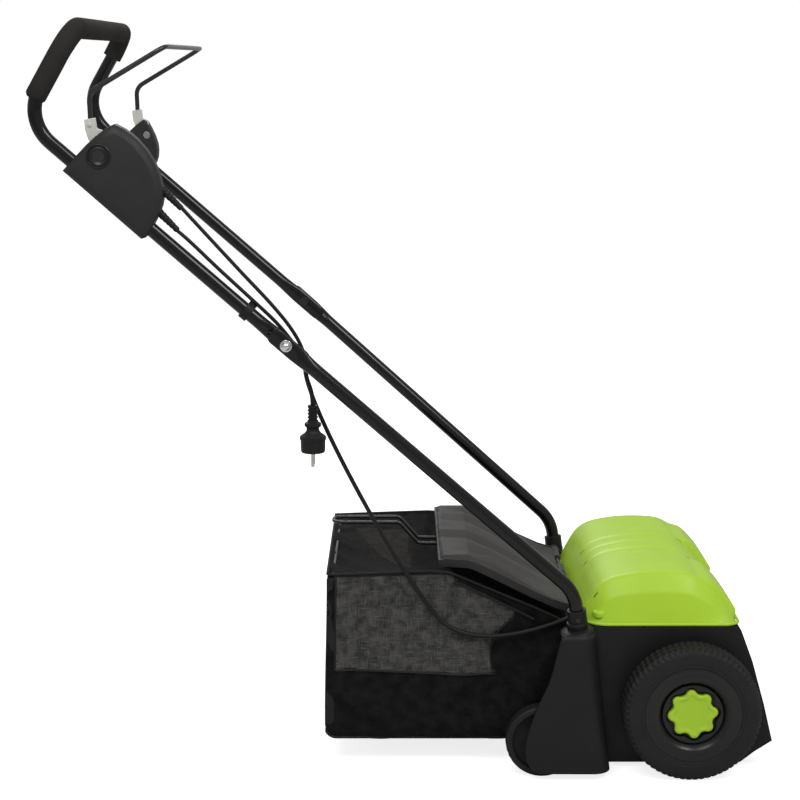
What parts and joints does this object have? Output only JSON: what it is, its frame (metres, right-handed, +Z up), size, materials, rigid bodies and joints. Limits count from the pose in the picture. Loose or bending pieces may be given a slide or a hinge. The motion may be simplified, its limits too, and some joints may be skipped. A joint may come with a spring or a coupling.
{
  "type": "lawn dethatcher",
  "caption": "Corded electric lawn dethatcher: tine rotor under a motor hood, four wheels, folding push handle with safety bail, and a lift-off grass catcher.",
  "frame": {"origin": "on the ground, midway along, across the machine: the bottom centre of the bounding box", "axes": "+X forward, towards the front wheels; +Y to the machine's left; +Z up"},
  "size_m": [1.0589, 0.54, 1.088],
  "materials": {
    "matte_black": "fine moulded grain",
    "green_shell": "satin moulded",
    "grey_flap": "satin moulded",
    "tube_black": "glossy powder coat",
    "foam": "closed-cell foam",
    "tyre_black": "matt",
    "wheel_black": "satin moulded",
    "bag_cloth": "woven polyester with mesh windows",
    "wire_black": "powder coat",
    "steel": "zinc plated",
    "nut_chrome": "bright",
    "cast": "painted",
    "winding": "laminations and copper",
    "pulley_alloy": "machined",
    "belt_rubber": "ribbed",
    "cable_rubber": "satin",
    "lever_ivory": "satin",
    "plug_brass": "plated"
  },
  "bodies": {
    "chassis": {"lower_housing": "matte_black", "motor_hood": "green_shell", "side_bracket_right": "matte_black", "side_bracket_left": "matte_black", "socket_collars": "matte_black", "body_screws": "steel", "rotor_bearings": "steel", "motor_body": "steel", "motor_mounts": "matte_black", "drive_belt": "belt_rubber", "rear_axle_pins": "steel", "flap_hinge_pin": "steel", "flap_spring": "steel", "lower_handle_right": "tube_black", "lower_handle_left": "tube_black", "pivot_bolts": "steel", "cap_nuts": "nut_chrome", "pivot_washers": "nut_chrome", "motor_cable_lower": "cable_rubber", "index_springs": "steel"},
    "depth_right": {"axle_stub_right": "steel", "depth_knob_right": "green_shell"},
    "depth_left": {"axle_stub_left": "steel", "depth_knob_left": "green_shell"},
    "front_wheel_right": {"tyre_right": "tyre_black", "wheel_right": "wheel_black"},
    "front_wheel_left": {"tyre_left": "tyre_black", "wheel_left": "wheel_black"},
    "rear_wheel_right": {"rear_wheel_right": "matte_black"},
    "rear_wheel_left": {"rear_wheel_left": "matte_black"},
    "rotor": {"rotor_shaft": "steel", "rotor_tines": "steel", "driven_pulley": "pulley_alloy"},
    "motor_rotor": {"motor_shaft": "steel", "armature": "winding", "cooling_fan": "matte_black", "drive_pulley": "pulley_alloy"},
    "flap": {"rear_flap": "grey_flap"},
    "catcher": {"catcher_bag": "bag_cloth", "catcher_mouth": "matte_black", "catcher_frame": "wire_black", "catcher_handle": "wire_black"},
    "handle": {"upper_handle": "tube_black", "foam_grip": "foam", "switch_box_outer": "matte_black", "switch_box_inner": "matte_black", "microswitch": "matte_black", "button_spring": "steel", "bail_bracket_left": "matte_black", "bail_screws": "steel", "strain_reliefs": "cable_rubber", "motor_cable_upper": "cable_rubber", "plug_cable_upper": "cable_rubber", "cable_clip": "matte_black"},
    "bail": {"bail_rod": "wire_black", "bail_levers": "lever_ivory"},
    "button": {"lockout_button": "matte_black"},
    "plug": {"plug_pigtail": "cable_rubber", "plug_body": "cable_rubber", "plug_pins": "plug_brass"}
  },
  "joints": [
    {"name": "depth_set_right", "type": "hinge", "parent": "chassis", "child": "depth_right", "pos_m": [0.3955, -0.2, 0.1], "axis": [0, 1, 0], "range_deg": [-60, 60]},
    {"name": "depth_set_left", "type": "hinge", "parent": "chassis", "child": "depth_left", "pos_m": [0.3955, 0.2, 0.1], "axis": [0, 1, 0], "range_deg": [-60, 60]},
    {"name": "wheel_spin_right", "type": "hinge", "parent": "depth_right", "child": "front_wheel_right", "pos_m": [0.4035, -0.245, 0.1], "axis": [0, 1, 0], "continuous": true},
    {"name": "wheel_spin_left", "type": "hinge", "parent": "depth_left", "child": "front_wheel_left", "pos_m": [0.4035, 0.245, 0.1], "axis": [0, 1, 0], "continuous": true},
    {"name": "rear_wheel_spin_right", "type": "hinge", "parent": "chassis", "child": "rear_wheel_right", "pos_m": [0.1875, -0.237, 0.053], "axis": [0, 1, 0], "continuous": true},
    {"name": "rear_wheel_spin_left", "type": "hinge", "parent": "chassis", "child": "rear_wheel_left", "pos_m": [0.1875, 0.237, 0.053], "axis": [0, 1, 0], "continuous": true},
    {"name": "rotor_spin", "type": "hinge", "parent": "chassis", "child": "rotor", "pos_m": [0.3135, 0, 0.066], "axis": [0, 1, 0], "continuous": true},
    {"name": "motor_spin", "type": "hinge", "parent": "chassis", "child": "motor_rotor", "pos_m": [0.3785, 0, 0.21], "axis": [0, 1, 0], "continuous": true},
    {"name": "flap_lift", "type": "hinge", "parent": "chassis", "child": "flap", "pos_m": [0.2355, 0, 0.233], "axis": [0, 1, 0], "range_deg": [0, 70]},
    {"name": "catcher_remove", "type": "slide", "parent": "chassis", "child": "catcher", "axis": [-1, 0, 0], "range_m": [0, 0.45]},
    {"name": "handle_fold", "type": "hinge", "parent": "chassis", "child": "handle", "pos_m": [-0.1785, 0, 0.637], "axis": [0, 1, 0], "range_deg": [0, 140]},
    {"name": "bail_squeeze", "type": "hinge", "parent": "handle", "child": "bail", "pos_m": [-0.43057, 0, 0.91004], "axis": [0, 1, 0], "range_deg": [-36, 0]},
    {"name": "button_press", "type": "slide", "parent": "handle", "child": "button", "axis": [0, 1, 0], "range_m": [0, 0.005], "deforming": ["button_spring"]},
    {"name": "plug_hang", "type": "hinge", "parent": "handle", "child": "plug", "pos_m": [-0.1525, -0.236, 0.5944], "axis": [0, 1, 0], "range_deg": [-145, 5]}
  ],
  "couplings": [
    {"joint": "motor_spin", "follows": "rotor_spin", "ratio": 3.2143},
    {"joint": "plug_hang", "follows": "handle_fold", "ratio": -1}
  ]
}
